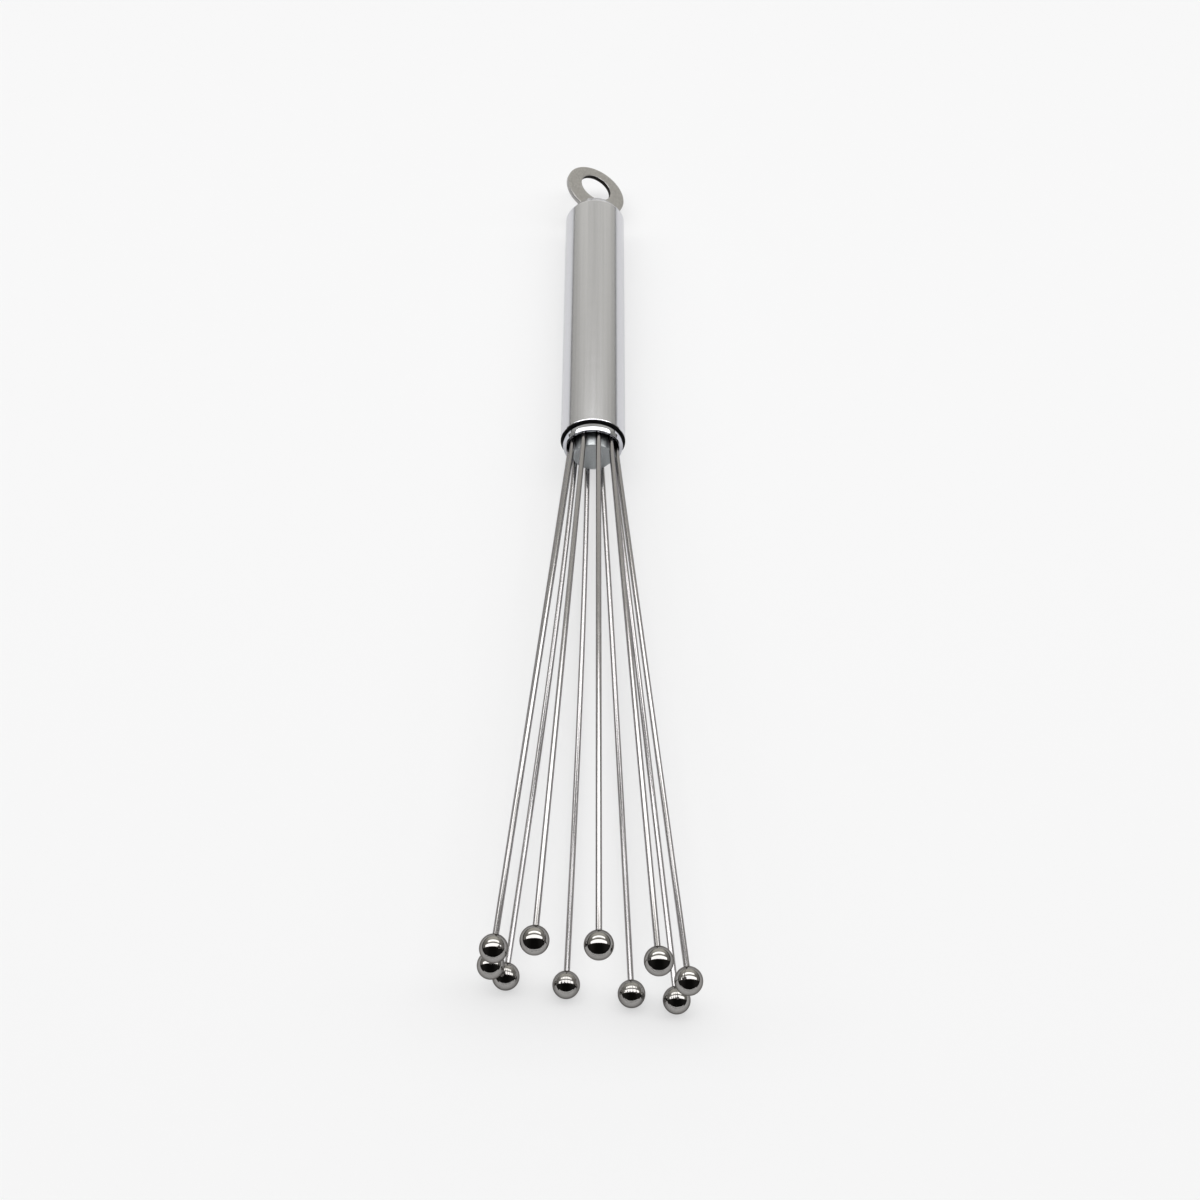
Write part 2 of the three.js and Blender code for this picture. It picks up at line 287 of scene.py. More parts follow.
def linear(code):
    """A colour written as sRGB hex, turned to the linear values that shaders use."""
    srgb = np.array([int(code[i:i + 2], 16) for i in (1, 3, 5)]) / 255
    values = np.where(srgb <= 0.04045, srgb / 12.92, ((srgb + 0.055) / 1.055) ** 2.4)
    return (*values.tolist(), 1.0)


def connect(tree, made, values=(), links=()):
    """Sets values on a node's own sockets, and links other nodes' outputs into it."""
    for socket, value in dict(values).items():
        made.inputs[socket].default_value = value
    for socket, source in dict(links).items():
        tree.links.new(source, made.inputs[socket])


def node(tree, kind, values=(), links=(), stops=(), **settings):
    """Adds a node: its settings, its sockets' values, the links into it and a ramp's stops."""
    made = tree.nodes.new(kind)
    for name, value in settings.items():
        setattr(made, name, value)
    connect(tree, made, values, links)
    for i, (spot, colour) in enumerate(stops):
        elements = made.color_ramp.elements
        stop = elements[i] if i < 2 else elements.new(spot)
        stop.position = spot
        stop.color = colour
    return made


def finish(name):
    """An empty material and its tree, with a Principled shader on the output."""
    made = bpy.data.materials.new(name)
    made.use_nodes = True
    tree = made.node_tree
    return made, tree, tree.nodes["Principled BSDF"]


def whisk_coordinates(tree):
    """Object coordinates turned by the lie angle, so that Y runs along the handle's axis."""
    coordinates = node(tree, "ShaderNodeTexCoord")
    return node(tree, "ShaderNodeMapping", {"Rotation": (LIE_ANGLE, 0, 0)},
                {"Vector": coordinates.outputs["Object"]})


def satin_stainless():
    """Stainless tube, satin brushed on a lathe: fine lines round it spread each reflection
    along the handle, and leave it crisp from side to side. Under them the drawn tube still
    shows faint long streaks. Real brush lines are finer than these, which are drawn coarse
    enough to show."""
    made, tree, shader = finish("satin_stainless")
    axis = whisk_coordinates(tree)
    line_pitch = 0.15 * MM
    line_stretch = 0.02
    streak_width = 1.6 * MM
    streak_stretch = 0.012
    line_share = 0.3
    lines = node(tree, "ShaderNodeMapping",
                 {"Scale": (line_stretch / line_pitch, 1 / line_pitch, line_stretch / line_pitch)},
                 {"Vector": axis.outputs[0]})
    brush = node(tree, "ShaderNodeTexNoise", {"Scale": 1.0, "Detail": 3.0, "Roughness": 0.6},
                 {"Vector": lines.outputs[0]})
    long_way = node(tree, "ShaderNodeMapping",
                    {"Scale": (1 / streak_width, streak_stretch / streak_width, 1 / streak_width)},
                    {"Vector": axis.outputs[0]})
    streaks = node(tree, "ShaderNodeTexNoise", {"Scale": 1.0, "Detail": 3.0, "Roughness": 0.6},
                   {"Vector": long_way.outputs[0]})
    both = node(tree, "ShaderNodeMath", {1: line_share},
                {0: brush.outputs["Fac"], 2: streaks.outputs["Fac"]},
                operation="MULTIPLY_ADD")
    tone = node(tree, "ShaderNodeValToRGB", links={"Fac": both.outputs[0]},
                stops=[(0.4, linear("#C7C7CB")), (0.9, linear("#D3D3D7"))])
    gloss = node(tree, "ShaderNodeMapRange", {"To Min": 0.15, "To Max": 0.19},
                 {"Value": brush.outputs["Fac"]})
    bump = node(tree, "ShaderNodeBump", {"Strength": 0.1, "Distance": 0.01 * MM},
                {"Height": brush.outputs["Fac"]})
    tangent = node(tree, "ShaderNodeTangent", direction_type="UV_MAP", uv_map="UVMap")
    connect(tree, shader, {"Metallic": 1.0, "Anisotropic": 0.75},
            {"Base Color": tone.outputs["Color"], "Roughness": gloss.outputs["Result"],
             "Normal": bump.outputs["Normal"], "Tangent": tangent.outputs["Tangent"]})
    return made


def stamped_stainless():
    """Stainless sheet as rolled and stamped: an even grey satin with a fine mottled grain."""
    made, tree, shader = finish("stamped_stainless")
    axis = whisk_coordinates(tree)
    grain_size = 0.45 * MM
    grain_stretch = 0.5
    stretched = node(tree, "ShaderNodeMapping",
                     {"Scale": (1 / grain_size, grain_stretch / grain_size, 1 / grain_size)},
                     {"Vector": axis.outputs[0]})
    grain = node(tree, "ShaderNodeTexNoise", {"Scale": 1.0, "Detail": 4.0, "Roughness": 0.65},
                 {"Vector": stretched.outputs[0]})
    tone = node(tree, "ShaderNodeValToRGB", links={"Fac": grain.outputs["Fac"]},
                stops=[(0.3, linear("#9D9B9A")), (0.7, linear("#B9B7B5"))])
    gloss = node(tree, "ShaderNodeMapRange", {"To Min": 0.30, "To Max": 0.42},
                 {"Value": grain.outputs["Fac"]})
    bump = node(tree, "ShaderNodeBump", {"Strength": 0.25, "Distance": 0.02 * MM},
                {"Height": grain.outputs["Fac"]})
    connect(tree, shader, {"Metallic": 1.0},
            {"Base Color": tone.outputs["Color"], "Roughness": gloss.outputs["Result"],
             "Normal": bump.outputs["Normal"]})
    return made


def painted_shade_hole_wall():
    """The torn wall that the punch leaves round the ring's hole: rough steel, painted almost black
    as shade, for the shade and dark reflections seen in the hole.
    """
    made, tree, shader = finish("painted_shade_hole_wall")
    axis = whisk_coordinates(tree)
    tear_size = 0.2 * MM
    tears = node(tree, "ShaderNodeTexNoise", {"Scale": 1 / tear_size, "Detail": 3.0},
                 {"Vector": axis.outputs[0]})
    # The near-black ramp is painted shade: the wall is coloured for the shade and dark reflections
    # in the hole, not steel's own grey.
    tone = node(tree, "ShaderNodeValToRGB", links={"Fac": tears.outputs["Fac"]},
                stops=[(0.35, linear("#1C1A19")), (0.65, linear("#3A3735"))])
    gloss = node(tree, "ShaderNodeMapRange", {"To Min": 0.5, "To Max": 0.7},
                 {"Value": tears.outputs["Fac"]})
    connect(tree, shader, {"Metallic": 1.0},
            {"Base Color": tone.outputs["Color"], "Roughness": gloss.outputs["Result"]})
    return made


def polished_stainless(name, dark, light, edge_tint, low_gloss, high_gloss, patch_size):
    """Stainless polished to a mirror: reflections stay sharp, and faint clouds from
    handling and polishing only soften them here and there."""
    made, tree, shader = finish(name)
    axis = whisk_coordinates(tree)
    cloud = node(tree, "ShaderNodeTexNoise",
                 {"Scale": 1 / patch_size, "Detail": 4.0, "Roughness": 0.6},
                 {"Vector": axis.outputs[0]})
    tone = node(tree, "ShaderNodeValToRGB", links={"Fac": cloud.outputs["Fac"]},
                stops=[(0.35, linear(dark)), (0.65, linear(light))])
    gloss = node(tree, "ShaderNodeMapRange",
                 {"From Min": 0.35, "From Max": 0.75, "To Min": low_gloss, "To Max": high_gloss},
                 {"Value": cloud.outputs["Fac"]})
    connect(tree, shader, {"Metallic": 1.0, "Specular Tint": linear(edge_tint)},
            {"Base Color": tone.outputs["Color"], "Roughness": gloss.outputs["Result"]})
    return made


def drawn_wire():
    """Bright drawn spring wire: nearly a mirror, with faint draw lines along it, drawn
    coarse enough to show. The UV map is in millimetres, and so is the lines' pitch."""
    made, tree, shader = finish("drawn_spring_wire")
    own = node(tree, "ShaderNodeUVMap", uv_map="UVMap")
    line_pitch = 0.12
    line_stretch = 0.02
    lines = node(tree, "ShaderNodeMapping",
                 {"Scale": (line_stretch / line_pitch, 1 / line_pitch, 1)},
                 {"Vector": own.outputs["UV"]})
    draw = node(tree, "ShaderNodeTexNoise", {"Scale": 1.0, "Detail": 2.0},
                {"Vector": lines.outputs[0]})
    tone = node(tree, "ShaderNodeValToRGB", links={"Fac": draw.outputs["Fac"]},
                stops=[(0.3, linear("#A3A1A2")), (0.7, linear("#B1AFB0"))])
    gloss = node(tree, "ShaderNodeMapRange", {"To Min": 0.10, "To Max": 0.20},
                 {"Value": draw.outputs["Fac"]})
    connect(tree, shader, {"Metallic": 1.0, "Specular Tint": linear("#8E8C8B")},
            {"Base Color": tone.outputs["Color"], "Roughness": gloss.outputs["Result"]})
    return made


def turned_steel():
    """Turned steel left matt: a dull blue-grey with a fine grain."""
    made, tree, shader = finish("turned_steel")
    axis = whisk_coordinates(tree)
    grain_size = 0.4 * MM
    grain = node(tree, "ShaderNodeTexNoise",
                 {"Scale": 1 / grain_size, "Detail": 4.0, "Roughness": 0.6},
                 {"Vector": axis.outputs[0]})
    tone = node(tree, "ShaderNodeValToRGB", links={"Fac": grain.outputs["Fac"]},
                stops=[(0.3, linear("#B0B4B6")), (0.7, linear("#C8CCCE"))])
    gloss = node(tree, "ShaderNodeMapRange", {"To Min": 0.42, "To Max": 0.5},
                 {"Value": grain.outputs["Fac"]})
    bump = node(tree, "ShaderNodeBump", {"Strength": 0.3, "Distance": 0.02 * MM},
                {"Height": grain.outputs["Fac"]})
    connect(tree, shader, {"Metallic": 1.0},
            {"Base Color": tone.outputs["Color"], "Roughness": gloss.outputs["Result"],
             "Normal": bump.outputs["Normal"]})
    return made


def black_rubber():
    """Moulded black rubber: matt, a little uneven, with hardly any shine."""
    made, tree, shader = finish("black_rubber")
    axis = whisk_coordinates(tree)
    grain_size = 0.25 * MM
    grain = node(tree, "ShaderNodeTexNoise", {"Scale": 1 / grain_size, "Detail": 3.0},
                 {"Vector": axis.outputs[0]})
    tone = node(tree, "ShaderNodeValToRGB", links={"Fac": grain.outputs["Fac"]},
                stops=[(0.3, linear("#010101")), (0.7, linear("#040405"))])
    gloss = node(tree, "ShaderNodeMapRange", {"To Min": 0.6, "To Max": 0.75},
                 {"Value": grain.outputs["Fac"]})
    connect(tree, shader, {"IOR": 1.5, "Specular IOR Level": 0.12},
            {"Base Color": tone.outputs["Color"], "Roughness": gloss.outputs["Result"]})
    return made


def handle_tube(material):
    """Front edge with a slight taper, outer wall, rear cone and its rim, then back along the
    inside. The cone's and the rim's edges are small rounds between the straight stretches."""
    cone_r = TUBE_R - REAR_CONE_DROP
    front_drop, front_step, front_end = 0.05, 0.08, 0.24
    wall_start, before_shoulder, shoulder, past_shoulder = 3.0, 0.5, 0.2, 0.6
    before_rim, rim_round = 0.5, 0.15
    bore_start, bore_round = 1.0, 0.1
    profile = np.concatenate([
        [(TUBE_R - FRONT_EDGE_DROP, 0.0), (TUBE_R - front_drop, front_step),
         (TUBE_R, front_end), (TUBE_R, FRONT_EDGE_LENGTH)],
        straight((TUBE_R, wall_start), (TUBE_R, CONE_START - before_shoulder), steps=12),
        eased((TUBE_R, CONE_START - shoulder), (TUBE_R, CONE_START),
              (TUBE_R - shoulder * CONE_SLOPE, CONE_START + shoulder)),
        straight((TUBE_R - past_shoulder * CONE_SLOPE, CONE_START + past_shoulder),
                 (cone_r + before_rim * CONE_SLOPE, TUBE_LENGTH - before_rim), steps=6),
        eased((cone_r + rim_round * CONE_SLOPE, TUBE_LENGTH - rim_round),
              (cone_r, TUBE_LENGTH), (cone_r - rim_round, TUBE_LENGTH)),
        straight((cone_r - TUBE_WALL, TUBE_LENGTH), (TUBE_BORE_R, CONE_START),
                 (TUBE_BORE_R, bore_start), steps=4),
        [(TUBE_BORE_R, bore_round), (TUBE_BORE_R + bore_round, 0.0)],
    ])
    return piece("handle", turned(profile, TUBE_SIDES), material,
                 "handle_tube", closed_loop=True, sharp=12)


def end_cap(material):
    """A crowned cap with the tang's slot through it. At each clock angle a row runs from the
    slot's edge over the crown, an arc of a large circle, to the rim, down the cone to the
    foot and back to the slot."""
    face_r = TUBE_BORE_R - REAR_CONE_DROP - SEAT_GAP
    clock = np.linspace(0, FULL_TURN, TUBE_SIDES, endpoint=False)
    half_long, half_thick = TANG_WIDTH / 2 + SEAT_GAP, RING_THICKNESS / 2 + SEAT_GAP
    nearly_none = 1e-6
    crown_rows = 12
    slot_r = np.minimum(half_long / np.maximum(np.abs(np.cos(clock)), nearly_none),
                        half_thick / np.maximum(np.abs(np.sin(clock)), nearly_none))
    crown_r = (face_r ** 2 + CAP_CROWN ** 2) / (2 * CAP_CROWN)
    share = np.linspace(0, 1, crown_rows)[:, None]
    over = slot_r + (face_r - CAP_EDGE - slot_r) * share
    crown_y = TUBE_LENGTH + np.sqrt(crown_r ** 2 - over ** 2) - (crown_r - CAP_CROWN)
    rim = np.array([(face_r + CAP_EDGE * CONE_SLOPE, TUBE_LENGTH - CAP_EDGE),
                    (face_r + CAP_DEPTH * CONE_SLOPE, TUBE_LENGTH - CAP_DEPTH)])
    rim_r = rim[:, :1] * np.ones_like(clock)
    rim_y = rim[:, 1:] * np.ones_like(clock)
    radius = np.concatenate([over, rim_r, slot_r[None]])
    y = np.concatenate([crown_y, rim_y, rim_y[-1:]])
    grid = rolled(radius * np.cos(clock), y, radius * np.sin(clock))
    return piece("cap", grid, material, "end_cap", closed_loop=True)


def hanging_ring(material, wall_material):
    """A flat washer with a straight tang. Round the ring's centre, the outline's distance is
    the washer's radius, or where the tang is, the nearer of its side and its end; the hole's
    is the distance to a circle whose centre is set off from the tang. Rows run from the hole
    over the upper face, round the outer edge and back on the lower face. The faces that
    close the loop are the wall of the hole, and get the second material, painted almost black as
    shade."""
    end_steps, side_steps, rim_steps, edge_rows, face_rows = 6, 10, 180, 5, 8
    half = TANG_WIDTH / 2
    reach = RING_CENTRE + TANG_DEPTH
    corner = math.atan2(half, reach)
    neck = math.asin(half / RING_R)
    from_tang = np.concatenate([
        np.linspace(0, corner, end_steps, endpoint=False),
        np.linspace(corner, neck, side_steps, endpoint=False),
        np.linspace(neck, FULL_TURN - neck, rim_steps, endpoint=False),
        np.linspace(FULL_TURN - neck, FULL_TURN - corner, side_steps, endpoint=False),
        np.linspace(FULL_TURN - corner, FULL_TURN, end_steps, endpoint=False),
    ])
    off = np.abs((from_tang + math.pi) % FULL_TURN - math.pi)
    end_line = reach / np.cos(np.minimum(off, neck))
    side_line = half / np.sin(np.maximum(off, corner))
    outline = np.where(off < corner, end_line, np.where(off < neck, side_line, RING_R))
    hole_line = (np.sqrt(RING_HOLE_R ** 2 - (RING_HOLE_SET * np.sin(from_tang)) ** 2)
                 - RING_HOLE_SET * np.cos(from_tang))
    half_thick = RING_THICKNESS / 2
    bend = np.radians(np.linspace(0, 90, edge_rows))[:, None]
    hole_r = hole_line + RING_EDGE * (1 - np.cos(bend))
    outer_r = outline - RING_EDGE * (1 - np.sin(bend))
    hole_z = half_thick - RING_EDGE * (1 - np.sin(bend)) + np.zeros_like(hole_r)
    outer_z = half_thick - RING_EDGE * (1 - np.cos(bend)) + np.zeros_like(outer_r)
    share = np.linspace(0, 1, face_rows)[1:-1, None]
    face_r = hole_r[-1:] + (outer_r[:1] - hole_r[-1:]) * share
    upper_r = np.concatenate([hole_r, face_r, outer_r])
    upper_z = np.concatenate([hole_z, np.full(face_r.shape, half_thick), outer_z])
    radius = np.concatenate([upper_r, upper_r[::-1]])
    z = np.concatenate([upper_z, -upper_z[::-1]])
    y = TUBE_LENGTH + RING_CENTRE - radius * np.cos(from_tang)
    grid = rolled(radius * np.sin(from_tang), y, z)
    made = piece("ring", grid, material, "hanging_ring", closed_loop=True)
    made.data.materials.append(wall_material)
    wall = np.arange(len(made.data.polygons)) // len(from_tang) == len(radius) - 1
    made.data.polygons.foreach_set("material_index", wall.astype(np.int32))
    return made


def wire_places(i):
    """Where wire i leaves the mouth and the anchor, the vector of its flare, and its ball's
    centre. The mouth's circle and the balls' are their radius times the cosine and sine of
    the wire's clock angle. The balls' distances grow with their place along a skewed line,
    and a ball that would be lower than the low row lies on the table instead."""
    clock = FIRST_CLOCK + i * FULL_TURN / WIRE_COUNT
    mouth_clock = clock - WIRE_TURN
    mouth = np.array([MOUTH_RADIUS * math.cos(mouth_clock), -SLEEVE_FRONT,
                      MOUTH_RADIUS * math.sin(mouth_clock)])

    def reach(x, z):
        return REACH + REACH_SKEW * (x * math.cos(SKEW_CLOCK) + z * math.sin(SKEW_CLOCK))

    def on_table(y):
        return (BALL_R - height_over_table(y, 0.0)) / math.cos(LIE_ANGLE)

    free_x, free_z = CAGE_RADIUS * math.cos(clock), CAGE_RADIUS * math.sin(clock)
    free = np.array([free_x, -reach(free_x, free_z), free_z])
    centre = free.copy()
    if height_over_table(free[1], free[2]) < LOW_ROW:
        centre[0] = free_x * ROW_SPREAD + ROW_SLIDE
        centre[2] = on_table(free[1])
        centre[1] = -reach(centre[0], centre[2])
        centre[2] = on_table(centre[1])
    flare = free - mouth
    leave = mouth + flare * (SLEEVE_FRONT + SLEEVE_REAR + SEAT_GAP) / flare[1]
    return mouth, leave, flare, centre


# All wires leave the anchor on one circle, so the first gives its radius.
WIRES = [wire_places(i) for i in range(WIRE_COUNT)]
LEAVE_RADIUS = math.hypot(WIRES[0][1][0], WIRES[0][1][2])


def bent(mouth, flare, centre):
    """The free stretch of a wire at shares 0 to 1: the straight flare, and a beam's bend by
    (3 t squared - t cubed) / 2 of the way that the table pushes the ball aside."""
    t = np.linspace(0, 1, WIRE_STEPS)[:, None]
    shift = centre - mouth - flare
    return mouth + flare * t + shift * (3 * t ** 2 - t ** 3) / 2


def wire(number, material, mouth, leave, flare, centre):
    """A round section carried along the wire: straight in the anchor, along the flare in the
    sleeve, over the free stretch and into the ball. Both its ends are flat."""
    free = bent(mouth, flare, centre)
    into_ball = unit(free[-1] - free[-2])
    tip = centre + into_ball * (BALL_BORE_DEPTH - BALL_R - BALL_FIT)
    hole_end = leave + np.array([0.0, ANCHOR_HOLE_DEPTH - SEAT_GAP, 0.0])
    in_anchor = straight(hole_end, leave, steps=6)
    in_sleeve = straight(leave, mouth, steps=6)[1:-1]
    route = np.concatenate([in_anchor, in_sleeve, free, tip[None]])
    heading = unit(np.gradient(route, axis=0))
    side = unit(np.cross(heading, [0.0, 0.0, 1.0]))
    over = np.cross(side, heading)
    clock = np.linspace(0, FULL_TURN, WIRE_SIDES, endpoint=False)[None, :, None] + FOOT
    section = side[:, None] * np.cos(clock) + over[:, None] * np.sin(clock)
    return piece(f"spring_wire_{number}", route[:, None] + WIRE_R * section, material,
                 f"wire_{number}")


def ball(number, material, mouth, flare, centre):
    """A ball turned about its wire: a sphere's arc from the far pole to the bore, whose rim
    is broken by a small chamfer, and the blind bore down to its flat bottom. It is a hair
    smaller than the true ball, so that it stays in the box of the CAD model's flat faces."""
    free = bent(mouth, flare, centre)
    towards_wire = unit(free[-2] - free[-1])
    far_pole = -88.5
    ball_r = BALL_R - BALL_SKIN
    bore_r = WIRE_R + BALL_FIT
    rim_r = bore_r + BORE_CHAMFER
    rim_y = math.sqrt(ball_r ** 2 - rim_r ** 2)
    rim_angle = math.degrees(math.acos(rim_r / ball_r))
    arc = quarter(0, 0, ball_r, far_pole, rim_angle, steps=BALL_STEPS)
    bore = straight((bore_r, rim_y - BORE_CHAMFER), (bore_r, BALL_R - BALL_BORE_DEPTH), steps=6)
    radius, y = (column[:, None, None] for column in np.concatenate([arc, bore]).T)
    side = unit(np.cross(towards_wire, [0.0, 0.0, 1.0]))
    over = np.cross(side, towards_wire)
    clock = np.linspace(0, FULL_TURN, BALL_SIDES, endpoint=False)[None, :, None]
    grid = centre + y * towards_wire + radius * (side * np.cos(clock) + over * np.sin(clock))
    return piece(f"steel_ball_{number}", grid, material, f"ball_{number}")


def sleeve(material):
    """A ring whose bore widens with the wires' flare. In front of the seal it has a low
    flange that tapers towards the lip, and the lip is flat with small rounds on its edges."""
    rear_bore = LEAVE_RADIUS + WIRE_R + MOUTH_FIT
    mouth_bore = SLEEVE_R - MOUTH_WALL
    flange_r = SLEEVE_R + SLEEVE_FLANGE
    flange_rear = -2 * SEAL_GAP - SEAL_THICKNESS
    lip_r = flange_r - LIP_DROP
    lip_slope = LIP_DROP / LIP_LENGTH
    rear_land = 0.2
    profile = np.concatenate([
        quarter(mouth_bore + MOUTH_EDGE, MOUTH_EDGE - SLEEVE_FRONT, MOUTH_EDGE, 180, 270, steps=6),
        eased((lip_r - LIP_EDGE, -SLEEVE_FRONT), (lip_r, -SLEEVE_FRONT),
              (lip_r + LIP_EDGE * lip_slope, LIP_EDGE - SLEEVE_FRONT)),
        straight((flange_r, LIP_LENGTH - SLEEVE_FRONT), (flange_r, flange_rear),
                 (SLEEVE_R, flange_rear), (SLEEVE_R, SLEEVE_REAR),
                 (rear_bore, SLEEVE_REAR), (rear_bore, SLEEVE_REAR - rear_land), steps=2),
    ])
    return piece("sleeve", turned(profile, COLLAR_SIDES), material,
                 "ferrule_sleeve", closed_loop=True, sharp=16)


def seal(material):
    """A flat rubber ring with rounded outer edges."""
    inner = SLEEVE_R + SEAL_GAP
    front = -SEAL_GAP - SEAL_THICKNESS
    edge = SEAL_THICKNESS / 3
    profile = np.concatenate([
        [(inner, front)],
        quarter(TUBE_R - edge, front + edge, edge, -90, 0),
        quarter(TUBE_R - edge, -SEAL_GAP - edge, edge, 0, 90),
        [(inner, -SEAL_GAP)],
    ])
    return piece("seal", turned(profile, COLLAR_SIDES), material,
                 "seal_ring", closed_loop=True)


def wedge_core(material):
    """A turned core: a flat front with a rounded edge, the boss, a taper along the wires'
    flare, and a thinner shank."""
    rear_r = LEAVE_RADIUS - WIRE_R - MOUTH_FIT
    boss_r = MOUTH_RADIUS - WIRE_R - MOUTH_FIT
    shank_end = SLEEVE_REAR + SHANK_LENGTH
    pole_r = 0.4
    before_edge = 0.2
    profile = np.concatenate([
        straight((pole_r, -CORE_FRONT), (boss_r - CORE_EDGE - before_edge, -CORE_FRONT), steps=6),
        quarter(boss_r - CORE_EDGE, -CORE_FRONT + CORE_EDGE, CORE_EDGE, -90, 0),
        straight((boss_r, -SLEEVE_FRONT), (rear_r, SLEEVE_REAR), (SHANK_R, SLEEVE_REAR),
                 (SHANK_R, shank_end), (pole_r, shank_end)),
    ])
    return piece("core", turned(profile, CORE_SIDES), material, "wedge_core")


def build_whisk():
    """All pieces, each with its finish. The drilled anchor inside stays the CAD solid."""
    satin = satin_stainless()
    stamped = stamped_stainless()
    hole_wall_shade = painted_shade_hole_wall()
    sleeve_polish = polished_stainless("polished_sleeve", "#C6C7CC", "#D0D1D6", "#D0D0D4",
                                       low_gloss=0.05, high_gloss=0.12, patch_size=3 * MM)
    ball_polish = polished_stainless("polished_ball", "#959391", "#9D9B99", "#918F8D",
                                     low_gloss=0.02, high_gloss=0.05, patch_size=2.5 * MM)
    spring = drawn_wire()
    matt = turned_steel()
    rubber = black_rubber()
    handle_tube(satin)
    end_cap(sleeve_polish)
    hanging_ring(stamped, hole_wall_shade)
    sleeve(sleeve_polish)
    seal(rubber)
    wedge_core(matt)
    for i, (mouth, leave, flare, centre) in enumerate(WIRES):
        number = f"{i + 1:02d}"
        wire(number, spring, mouth, leave, flare, centre)
        ball(number, ball_polish, mouth, flare, centre)
    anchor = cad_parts["wire_anchor"]
    anchor.data.materials.clear()
    anchor.data.materials.append(matt)


def lamp(name, y, height, width, depth, strength, lights_matt):
    """A flat lamp over the whisk's middle plane that faces straight down. It may leave matt
    things out, and then only shows in the steel. Its energy in watts is pi times its area in
    square metres times its strength, where a strength of 1 is white."""
    data = bpy.data.lights.new(name, "AREA")
    data.shape = "RECTANGLE"
    data.size = width
    data.size_y = depth
    data.energy = math.pi * width * depth * strength
    made = bpy.data.objects.new(name, data)
    bpy.context.scene.collection.objects.link(made)
    made.location = (0, y, height)
    made.visible_diffuse = lights_matt


def matt_white():
    """Matt white paper. Near the whisk the camera sees six tenths of its own white and four
    tenths of what the light and the whisk's shadow make of it, so that the shadow stays
    soft. Further off it sees only the white, so that the table runs on into the background.
    The steel sees a deeper shadow, and at both sides a painted dark reflection: there the paper
    shows the steel a dark glow in place of its own white, standing in for a dark room at the
    sides. The distances are in metres from the middle of the whisk."""
    near, far, near_share = 0.25, 0.7, 0.6
    dark_reflection_start, dark_reflection_stop = 0.15, 0.3
    steel_share = 0.08
    paint, tree, shader = finish("matt_white_paper")
    white = linear("#F7F7F7")
    connect(tree, shader, {"Base Color": white, "Roughness": 0.9, "Specular IOR Level": 0.0})
    path = node(tree, "ShaderNodeLightPath")
    for_steel = node(tree, "ShaderNodeMath", {1: steel_share},
                     {0: path.outputs["Is Glossy Ray"]}, operation="MULTIPLY")
    coordinates = node(tree, "ShaderNodeTexCoord")
    away = node(tree, "ShaderNodeVectorMath", links={0: coordinates.outputs["Object"]},
                operation="LENGTH")
    plain = node(tree, "ShaderNodeMapRange",
                 {"From Min": near, "From Max": far, "To Min": near_share, "To Max": 1.0},
                 {"Value": away.outputs["Value"]}, interpolation_type="SMOOTHSTEP")
    share = node(tree, "ShaderNodeMath",
                 links={0: plain.outputs["Result"], 1: path.outputs["Is Camera Ray"],
                        2: for_steel.outputs[0]}, operation="MULTIPLY_ADD")
    own_white = node(tree, "ShaderNodeEmission", {"Color": white, "Strength": 1.0})
    mixed = node(tree, "ShaderNodeMixShader",
                 links={0: share.outputs[0], 1: shader.outputs[0], 2: own_white.outputs[0]})
    parts = node(tree, "ShaderNodeSeparateXYZ", links={"Vector": coordinates.outputs["Object"]})
    aside = node(tree, "ShaderNodeMath", links={0: parts.outputs["X"]}, operation="ABSOLUTE")
    dark_reflection_mask = node(tree, "ShaderNodeMapRange", {"From Min": dark_reflection_start, "From Max": dark_reflection_stop},
                    {"Value": aside.outputs[0]})
    dark_reflection_share = node(tree, "ShaderNodeMath",
                      links={0: dark_reflection_mask.outputs["Result"], 1: path.outputs["Is Glossy Ray"]},
                      operation="MULTIPLY")
    # Painted dark reflection: a dark glow that only the steel sees, at both sides of the table.
    dark = node(tree, "ShaderNodeEmission", {"Color": linear("#1E1E1E"), "Strength": 1.0})
    with_dark_reflection = node(tree, "ShaderNodeMixShader",
                 links={0: dark_reflection_share.outputs[0], 1: mixed.outputs[0], 2: dark.outputs[0]})
    connect(tree, tree.nodes["Material Output"], links={"Surface": with_dark_reflection.outputs[0]})
    return paint


def sheet(name, corners, paint):
    """A flat sheet between four corners, which belongs to the studio."""
    mesh = bpy.data.meshes.new(name)
    mesh.from_pydata(corners, [], [(0, 1, 2, 3)])
    mesh.materials.append(paint)
    made = bpy.data.objects.new(name, mesh)
    bpy.context.scene.collection.objects.link(made)
    return made


def by_angle(tint, levels):
    """Stops of a ramp over half a turn: each level times the tint, at its angle's share of
    180 degrees."""
    return [(angle / 180, (*(level * part for part in tint), 1)) for angle, level in levels]


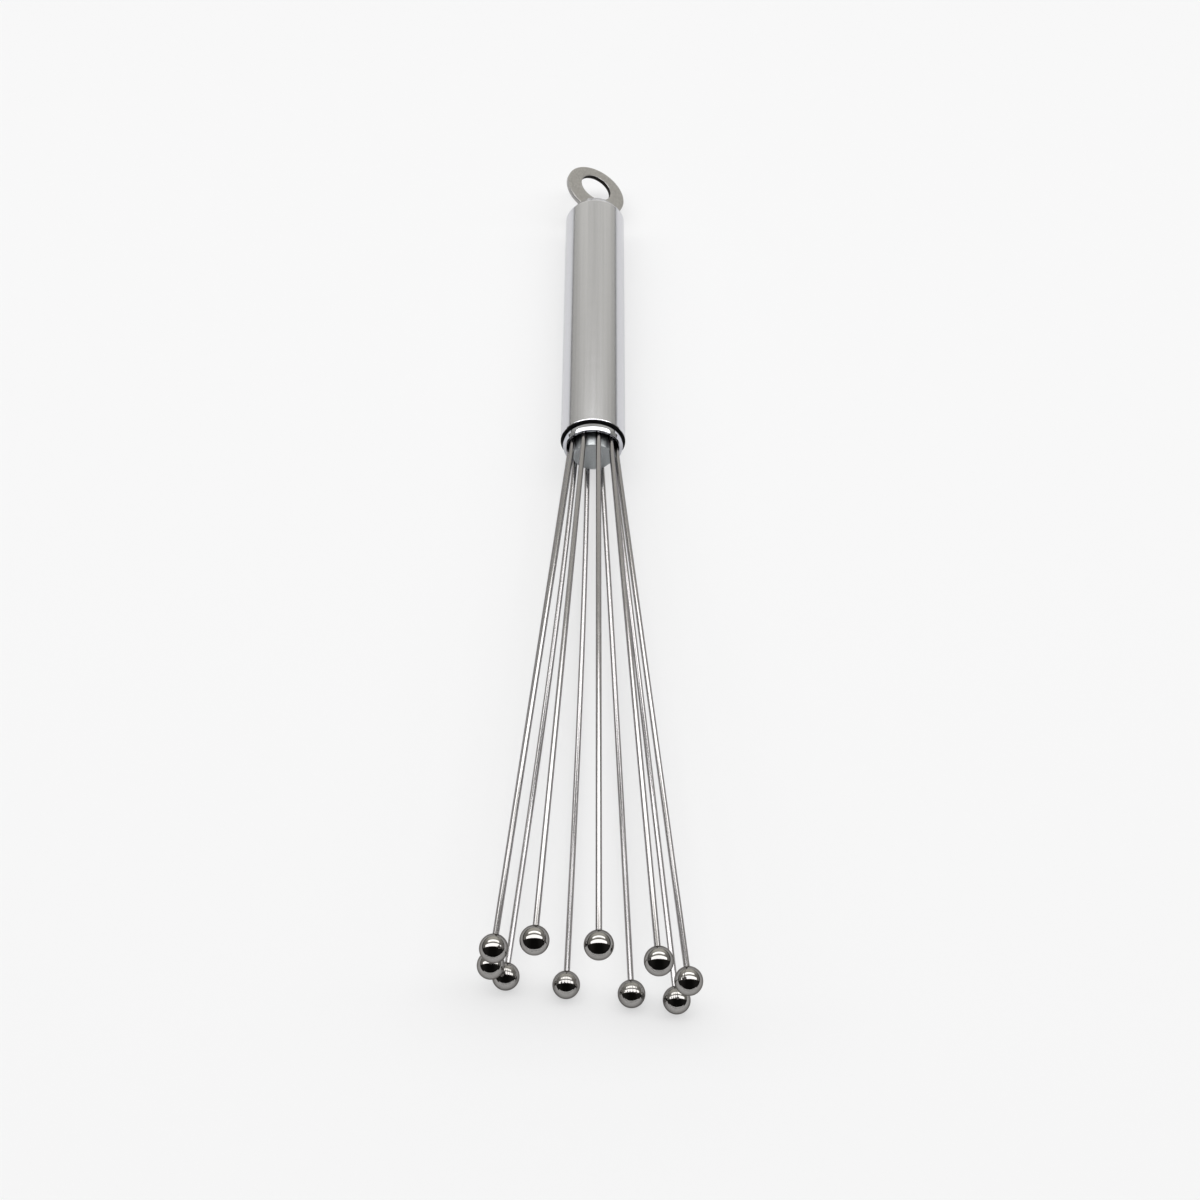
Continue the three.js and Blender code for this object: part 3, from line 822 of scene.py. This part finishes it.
def room():
    """The room round the table. The camera sees it plain white. For the rest it goes by the
    angle up from the front horizon, over the top and down to the back, which is the arc
    tangent of height over the way forward. Steel mirrors a dark room on the camera's side,
    and behind the whisk a bright band with a pale wall below, both dimmer towards the
    sides. Matt things are lit by one high band at the back."""
    side_start, side_stop = 0.3, 0.95
    world = bpy.data.worlds.new("studio")
    bpy.context.scene.world = world
    world.use_nodes = True
    world.cycles.sampling_method = "NONE"
    tree = world.node_tree
    direction = node(tree, "ShaderNodeTexCoord")
    parts = node(tree, "ShaderNodeSeparateXYZ", links={"Vector": direction.outputs["Generated"]})
    forward = node(tree, "ShaderNodeMath", {1: -1.0}, {0: parts.outputs["Y"]},
                   operation="MULTIPLY")
    swing = node(tree, "ShaderNodeMath", links={0: parts.outputs["Z"], 1: forward.outputs[0]},
                 operation="ARCTAN2")
    share = node(tree, "ShaderNodeMath", {1: math.pi}, {0: swing.outputs[0]},
                 operation="DIVIDE")
    middle = node(tree, "ShaderNodeValToRGB", links={"Fac": share.outputs[0]},
                  stops=by_angle(WARM, ROOM_MIDDLE))
    sides = node(tree, "ShaderNodeValToRGB", links={"Fac": share.outputs[0]},
                 stops=by_angle(WARM, ROOM_SIDES))
    for_matt = node(tree, "ShaderNodeValToRGB", links={"Fac": share.outputs[0]},
                    stops=by_angle(NEUTRAL, ROOM_FOR_MATT))
    sideways = node(tree, "ShaderNodeMath", links={0: parts.outputs["X"]}, operation="ABSOLUTE")
    ends = node(tree, "ShaderNodeMapRange", {"From Min": side_start, "From Max": side_stop},
                {"Value": sideways.outputs[0]}, interpolation_type="SMOOTHSTEP")
    # A Mix node's colours go in at 6 and 7 and come out at 2
    walls = node(tree, "ShaderNodeMix",
                 links={0: ends.outputs[0], 6: middle.outputs["Color"], 7: sides.outputs["Color"]},
                 data_type="RGBA")
    path = node(tree, "ShaderNodeLightPath")
    glow = node(tree, "ShaderNodeBackground", links={"Color": for_matt.outputs["Color"]})
    mirrored = node(tree, "ShaderNodeBackground", links={"Color": walls.outputs[2]})
    seen = node(tree, "ShaderNodeBackground", {"Color": linear("#F7F7F7"), "Strength": 1.0})
    for_steel = node(tree, "ShaderNodeMixShader",
                     links={0: path.outputs["Is Glossy Ray"], 1: glow.outputs[0],
                            2: mirrored.outputs[0]})
    for_camera = node(tree, "ShaderNodeMixShader",
                      links={0: path.outputs["Is Camera Ray"], 1: for_steel.outputs[0],
                             2: seen.outputs[0]})
    connect(tree, tree.nodes["World Output"], links={"Surface": for_camera.outputs[0]})


def studio():
    """A white table, a low white card in front of the picture that only the steel sees, a
    wide lamp high over the whisk, two smaller ones that only show in the steel, and the
    room."""
    paper = matt_white()
    sheet("table", [(-TABLE_HALF, -TABLE_HALF, 0), (TABLE_HALF, -TABLE_HALF, 0),
                    (TABLE_HALF, TABLE_HALF, 0), (-TABLE_HALF, TABLE_HALF, 0)], paper)
    card = sheet("front_card", [(CARD_HALF, CARD_Y, 0), (-CARD_HALF, CARD_Y, 0),
                                (-CARD_HALF, CARD_Y, CARD_TOP), (CARD_HALF, CARD_Y, CARD_TOP)],
                 paper)
    card.visible_camera = False
    card.visible_diffuse = False
    card.visible_shadow = False
    for each in LAMPS:
        lamp(**each)
    room()


def photo_camera():
    """The camera looks down on the whisk from the balls' end, close enough for the handle to
    taper in the picture, and is rolled a little about its line of sight."""
    data = bpy.data.cameras.new("photo_camera")
    data.lens = CAMERA_LENS
    data.sensor_width = SENSOR_WIDTH
    data.clip_start = 0.01
    made = bpy.data.objects.new("photo_camera", data)
    bpy.context.scene.collection.objects.link(made)
    back = -CAMERA_FORWARD.normalized()
    right = CAMERA_UP.cross(back).normalized()
    up = back.cross(right)
    turned_by = Matrix.Rotation(-CAMERA_ROLL, 4, "Z")
    stands = Matrix((right, up, back)).transposed().to_4x4() @ turned_by
    made.matrix_world = Matrix.Translation(CAMERA_PLACE) @ stands
    bpy.context.scene.camera = made


build_whisk()
studio()
photo_camera()
bpy.context.scene.view_settings.view_transform = "Standard"
